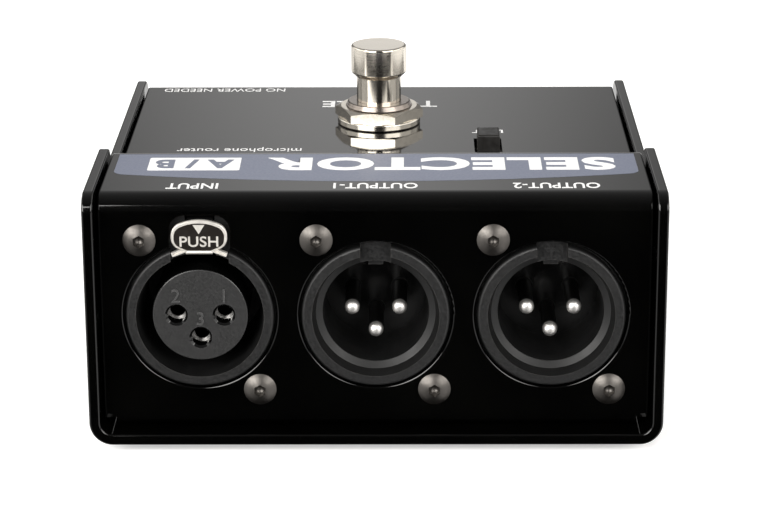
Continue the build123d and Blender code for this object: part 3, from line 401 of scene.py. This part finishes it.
# ---------------------------------------------------------------- printed and raised lettering
def thickened(solid, push):
    """Give the flat faces of a bmesh thickness, by the vector push."""
    moved = bmesh.ops.extrude_face_region(solid, geom=solid.faces[:])["geom"]
    for item in moved:
        if isinstance(item, bmesh.types.BMVert):
            item.co += Vector(push)
    bmesh.ops.recalc_face_normals(solid, faces=solid.faces)


def mesh_from(solid, name):
    """The finished bmesh as a mesh of that name."""
    mesh = bpy.data.meshes.new(name)
    solid.to_mesh(mesh)
    solid.free()
    return mesh


def lettering_mesh(name, words, bold):
    """Lettering lying in its own XY plane, as a closed mesh one unit thick."""
    curve = bpy.data.curves.new(name + "_outline", "FONT")
    curve.body = words
    curve.size = 1.0
    curve.offset = bold
    curve.space_character = 1 + 1.4 * bold
    curve.resolution_u = 5
    curve.align_x = "CENTER"
    text = bpy.data.objects.new(name + "_outline", curve)
    bpy.context.scene.collection.objects.link(text)
    depsgraph = bpy.context.evaluated_depsgraph_get()
    flat = bpy.data.meshes.new_from_object(text.evaluated_get(depsgraph))
    bpy.data.objects.remove(text)
    solid = bmesh.new()
    solid.from_mesh(flat)
    bpy.data.meshes.remove(flat)
    bmesh.ops.remove_doubles(solid, verts=solid.verts, dist=1e-5)
    thickened(solid, (0, 0, 1))
    for face in solid.faces:
        face.smooth = False
    return mesh_from(solid, name)


def lettering(name, words, centre, size, turn, material, body="box", bold=0.0,
              thickness=INK_THICKNESS):
    """Words fitted to size = (width, height) at centre; turn takes their plane to the surface's.

    With no width the letters keep their own proportions.
    """
    mesh = lettering_mesh(name, words, bold)
    xs = [vertex.co.x for vertex in mesh.vertices]
    ys = [vertex.co.y for vertex in mesh.vertices]
    middle = Vector(((min(xs) + max(xs)) / 2, (min(ys) + max(ys)) / 2, 0))
    tall = size[1] / (max(ys) - min(ys))
    wide = size[0] / (max(xs) - min(xs)) if size[0] else tall
    fit = Matrix.Diagonal((wide, tall, thickness, 1))
    mesh.transform(Matrix.Translation(centre) @ turn.to_4x4() @ fit @ Matrix.Translation(-middle))
    finish_piece(name, mesh, material, body)


def finish_piece(name, mesh, material, body):
    """Show a mesh as a new piece with its material, riding on a CAD body."""
    piece = bpy.data.objects.new(name, mesh)
    bpy.context.scene.collection.objects.link(piece)
    mesh.materials.append(material)
    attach(piece, body)


READ_FROM_BEHIND = Matrix.Rotation(pi, 3, "Z")
READ_FROM_FRONT = Matrix.Rotation(pi / 2, 3, "X")


def deck_point(x, y, deck_z):
    """Place just above a deck, x and y in millimetres from the middle and from the connector face."""
    return Vector((x * MM, FACE_Y + y * MM, deck_z + INK_GAP))


def band_outline():
    """Outline of the printed band: straight behind, bowed in front, with rounded front corners."""
    points = [(BAND_HALF_WIDTH, BAND_BACK), (-BAND_HALF_WIDTH, BAND_BACK)]
    for step in range(BAND_STEPS + 1):
        x = -BAND_HALF_WIDTH * cos(pi * step / BAND_STEPS)
        past_corner = max(0.0, abs(x) - (BAND_HALF_WIDTH - BAND_CORNER)) / BAND_CORNER
        rounding = BAND_CORNER * (1 - sqrt(max(0.0, 1 - past_corner * past_corner)))
        points.append((x, BAND_FRONT + BAND_BOW * x * x + rounding))
    return points


def plate_outline():
    """Outline of the plate on the band, a rectangle with round corners."""
    points = []
    corners = ((1, 1), (-1, 1), (-1, -1), (1, -1))
    for quarter, (side, end) in enumerate(corners):
        centre_x = PLATE_X + side * (PLATE_HALF_WIDTH - PLATE_CORNER)
        centre_y = TITLE_Y + end * (PLATE_HALF_DEPTH - PLATE_CORNER)
        for step in range(CORNER_STEPS + 1):
            angle = (quarter + step / CORNER_STEPS) * pi / 2
            points.append((centre_x + PLATE_CORNER * cos(angle), centre_y + PLATE_CORNER * sin(angle)))
    return points


def printed_patch(name, outline, lift, material):
    """Flat patch of ink on the upper deck, with an outline in deck millimetres."""
    solid = bmesh.new()
    solid.faces.new([solid.verts.new(deck_point(x, y, UPPER_DECK_Z + lift)) for x, y in outline])
    thickened(solid, (0, 0, INK_THICKNESS))
    finish_piece(name, mesh_from(solid, name), material, "box")


def print_upper_deck(white, blue):
    """Band with the box's generic title, and a label over each connector."""
    layer = INK_THICKNESS + INK_GAP
    printed_patch("print_band", band_outline(), 0.0, blue)
    lettering("print_title", "SELECTOR", deck_point(TITLE_X, TITLE_Y, UPPER_DECK_Z + layer), TITLE_SIZE,
              READ_FROM_BEHIND, white, bold=0.04)
    printed_patch("print_plate", plate_outline(), layer, white)
    lettering("print_plate_letters", "A / B", deck_point(PLATE_X, TITLE_Y, UPPER_DECK_Z + 2 * layer),
              PLATE_LETTERS, READ_FROM_BEHIND, blue, bold=0.04)
    for name, words, x, width in (("input", "INPUT", PORT_XS[0] / MM - 1.2, 8.4),
                                  ("output_1", "OUTPUT-1", PORT_XS[1] / MM, 13.6),
                                  ("output_2", "OUTPUT-2", PORT_XS[2] / MM + 0.8, 14.0)):
        lettering("print_" + name, words, deck_point(x, PORT_LABEL_Y, UPPER_DECK_Z),
                  (width * MM, PORT_LABEL_HEIGHT * MM), READ_FROM_BEHIND, white, bold=0.018)


def print_lower_deck(white):
    """Generic words on the lower deck: name, words, x, y, width, height and boldness."""
    labels = [
        ("toggle", "TOGGLE", 0.0, 77.9, 21.4, 4.4, 0.02),
        ("lift", "LIFT", 19.6, 58.6, 5.6, 2.0, 0.01),
        ("passive", "NO POWER NEEDED", -29.6, 88.3, 23.0, 2.2, 0.0),
        ("purpose", "microphone router", -24.5, 46.9, 22.0, 3.0, 0.0),
    ]
    for name, words, x, y, width, height, bold in labels:
        lettering("print_" + name, words, deck_point(x, y, LOWER_DECK_Z), (width * MM, height * MM),
                  READ_FROM_BEHIND, white, bold=bold)


def contact_numbers(material):
    """Raised contact numbers on the input's insert."""
    for number, dx, dz in ((1, 3.9, 3.3), (2, -3.9, 3.3), (3, 0.0, -0.6)):
        centre = Vector((PORT_XS[0] + dx * MM, INSERT_FRONT_Y, PORT_Z + dz * MM))
        lettering(f"contact_number_{number}", str(number), centre, (None, 2.2 * MM), READ_FROM_FRONT,
                  material, thickness=0.15 * MM)


def latch_lettering(material):
    """Raised word and a small pointer on the face of the push tab."""
    middle_x = (INLAY_LOW.x + INLAY_HIGH.x) / 2
    word_centre = Vector((middle_x, INLAY_LOW.y, INLAY_LOW.z + 1.5 * MM))
    lettering("latch_word", "PUSH", word_centre, (6.2 * MM, 1.75 * MM), READ_FROM_FRONT, material,
              body="latch_lever", bold=0.012, thickness=RAISED)
    tip = Vector((middle_x, INLAY_LOW.y, INLAY_LOW.z + 2.75 * MM))
    to_corners = (Vector((0, 0, 0)), Vector((0.95, 0, 1.55)), Vector((-0.95, 0, 1.55)))
    solid = bmesh.new()
    solid.faces.new([solid.verts.new(tip + step * MM) for step in to_corners])
    thickened(solid, (0, -RAISED, 0))
    pointer = mesh_from(solid, "latch_pointer")
    finish_piece("latch_pointer", pointer, material, "latch_lever")


# ---------------------------------------------------------------- stage
def make_floor():
    """Plain pale floor, left out of reflections, which find the sky's own ground instead."""
    half = 6.0
    corners = [(-half, -half, 0), (half, -half, 0), (half, half, 0), (-half, half, 0)]
    mesh = bpy.data.meshes.new("floor")
    mesh.from_pydata(corners, [], [(0, 1, 2, 3)])
    floor = bpy.data.objects.new("floor", mesh)
    bpy.context.scene.collection.objects.link(floor)
    surface = Surface("pale_floor", Roughness=0.9)
    surface.colour(surface.mixed(surface.noise(3, detail=2), (0.93, 0.93, 0.93), (0.90, 0.90, 0.90)))
    surface.shader.inputs["Specular IOR Level"].default_value = 0.0
    surface.shader.inputs["Emission Color"].default_value = (1.0, 1.0, 1.0, 1.0)
    surface.shader.inputs["Emission Strength"].default_value = 0.35
    mesh.materials.append(surface.material)
    floor.visible_glossy = False


def make_sky():
    """Dim studio: a pool of light on the backdrop, fading overhead and to the front.

    Below the horizon reflections find a pale ground, dark only straight in front of the box.
    """
    world = bpy.data.worlds.new("studio")
    bpy.context.scene.world = world
    world.use_nodes = True
    tree = world.node_tree
    place = tree.nodes.new("ShaderNodeTexCoord")
    split = tree.nodes.new("ShaderNodeSeparateXYZ")
    tree.links.new(place.outputs["Generated"], split.inputs["Vector"])

    def maths(operation, *values):
        made = tree.nodes.new("ShaderNodeMath")
        made.operation = operation
        for socket, value in zip(made.inputs, values):
            if isinstance(value, float):
                socket.default_value = value
            else:
                tree.links.new(value, socket)
        return made.outputs["Value"]

    def ramp(value, low_in, high_in, low_out, high_out):
        made = tree.nodes.new("ShaderNodeMapRange")
        for socket, number in zip(("From Min", "From Max", "To Min", "To Max"),
                                  (low_in, high_in, low_out, high_out)):
            made.inputs[socket].default_value = number
        tree.links.new(value, made.inputs["Value"])
        return made.outputs["Result"]

    # backdrop: brightest in a pool a little left of the middle, seen only behind the box
    sideways = maths("DIVIDE", maths("ADD", split.outputs["X"], 0.018), 0.10)
    pool = maths("EXPONENT", maths("MULTIPLY", maths("MULTIPLY", sideways, sideways), -1.0))
    backdrop = maths("ADD", maths("MULTIPLY", pool, 0.64), 0.165)
    dome = ramp(split.outputs["Y"], -0.9, 0.6, 0.04, 0.34)
    behind = ramp(split.outputs["Y"], 0.66, 0.92, 0.0, 1.0)
    upper = maths("ADD", maths("MULTIPLY", backdrop, behind),
                  maths("MULTIPLY", dome, maths("SUBTRACT", 1.0, behind)))
    # ground: seen below the horizon, dark only in a gap straight in front of the box
    horizon = ramp(split.outputs["Z"], -0.08, 0.06, 0.0, 1.0)
    right_ground = ramp(split.outputs["X"], 0.31, 0.40, 0.0, 1.2)
    left_ground = maths("ADD", ramp(split.outputs["X"], -0.26, -0.36, 0.0, 0.5),
                        ramp(split.outputs["X"], -0.64, -0.72, 0.0, 0.5))
    rear_ground = ramp(split.outputs["Y"], -0.3, 0.1, 0.0, 0.8)
    ground = maths("MAXIMUM", maths("MAXIMUM", right_ground, left_ground), rear_ground)
    lower = maths("MULTIPLY", ground, maths("SUBTRACT", 1.0, horizon))
    strength = maths("ADD", maths("MULTIPLY", upper, horizon), maths("ADD", lower, 0.006))
    background = tree.nodes["Background"]
    background.inputs["Color"].default_value = (1.0, 0.99, 0.98, 1.0)
    tree.links.new(strength, background.inputs["Strength"])


def softbox(name, place, aim, size, radiance):
    """Rectangular area light at place, facing aim, with that radiance."""
    light = bpy.data.lights.new(name, "AREA")
    light.shape = "RECTANGLE"
    light.size, light.size_y = size
    light.energy = radiance * size[0] * size[1] * pi
    light.color = (1.0, 0.985, 0.96)
    lamp = bpy.data.objects.new(name, light)
    bpy.context.scene.collection.objects.link(lamp)
    lamp.location = place
    lamp.rotation_euler = (aim - place).to_track_quat("-Z", "Y").to_euler()
    return lamp


def make_lights():
    """Softboxes round the front and both sides, with a slit left open for the camera, and one overhead.

    Each has a bearing from straight in front in degrees, a width in metres and a radiance.
    """
    middle = Vector((0, 0, 0.03))
    rise = radians(23)
    height = 0.55
    boxes = (("front_left", -37, 0.86, 9.0), ("front_right", 41, 0.76, 5.5),
             ("side_left", -84, 0.69, 1.6), ("side_right", 84, 0.69, 1.6),
             ("rear_left", -122, 0.5, 0.9), ("rear_right", 122, 0.5, 0.9))
    for name, bearing, width, radiance in boxes:
        angle = radians(bearing)
        towards = Vector((sin(angle) * cos(rise), -cos(angle) * cos(rise), sin(rise)))
        softbox("softbox_" + name, middle + towards, middle, (width, height), radiance)
    overhead = softbox("softbox_overhead", Vector((0, 0.2, 1.2)), middle, (0.9, 0.9), 2.4)
    overhead.visible_glossy = False


def make_camera():
    """Camera a little right of the middle, looking down on the connector face."""
    place = Vector((5.0, -462.6, 169.2)) * MM
    pitch, yaw, roll = radians(18.1), radians(-0.499), radians(-0.242)
    forward = Vector((sin(yaw) * cos(pitch), cos(yaw) * cos(pitch), -sin(pitch)))
    level = Vector((cos(yaw), -sin(yaw), 0))
    upright = level.cross(forward)
    right = cos(roll) * level + sin(roll) * upright
    up = cos(roll) * upright - sin(roll) * level
    data = bpy.data.cameras.new("camera")
    data.lens = 127.86
    data.sensor_width = 36.0
    data.clip_start = 0.01
    camera = bpy.data.objects.new("camera", data)
    bpy.context.scene.collection.objects.link(camera)
    turn = Matrix((right, up, -forward)).transposed()
    camera.matrix_world = Matrix.Translation(place) @ turn.to_4x4()
    bpy.context.scene.camera = camera


# ---------------------------------------------------------------- build
dress_nodes()
white_ink = ink("white_ink", (0.86, 0.86, 0.86), (0.78, 0.78, 0.78))
blue_ink = ink("blue_grey_ink", (0.145, 0.16, 0.215), (0.132, 0.147, 0.20))
print_upper_deck(white_ink, blue_ink)
print_lower_deck(white_ink)
# the numbers take a paler copy of the insert's nylon: a painted highlight on their raised shapes
contact_numbers(nylon("raised_numbers_painted_highlight", (0.02, 0.02, 0.02), (0.03, 0.03, 0.03), 0.4, 0.5))
latch_lettering(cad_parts["input_latch"].data.materials[0])
make_floor()
make_sky()
make_lights()
make_camera()
bpy.context.scene.view_settings.view_transform = "Standard"
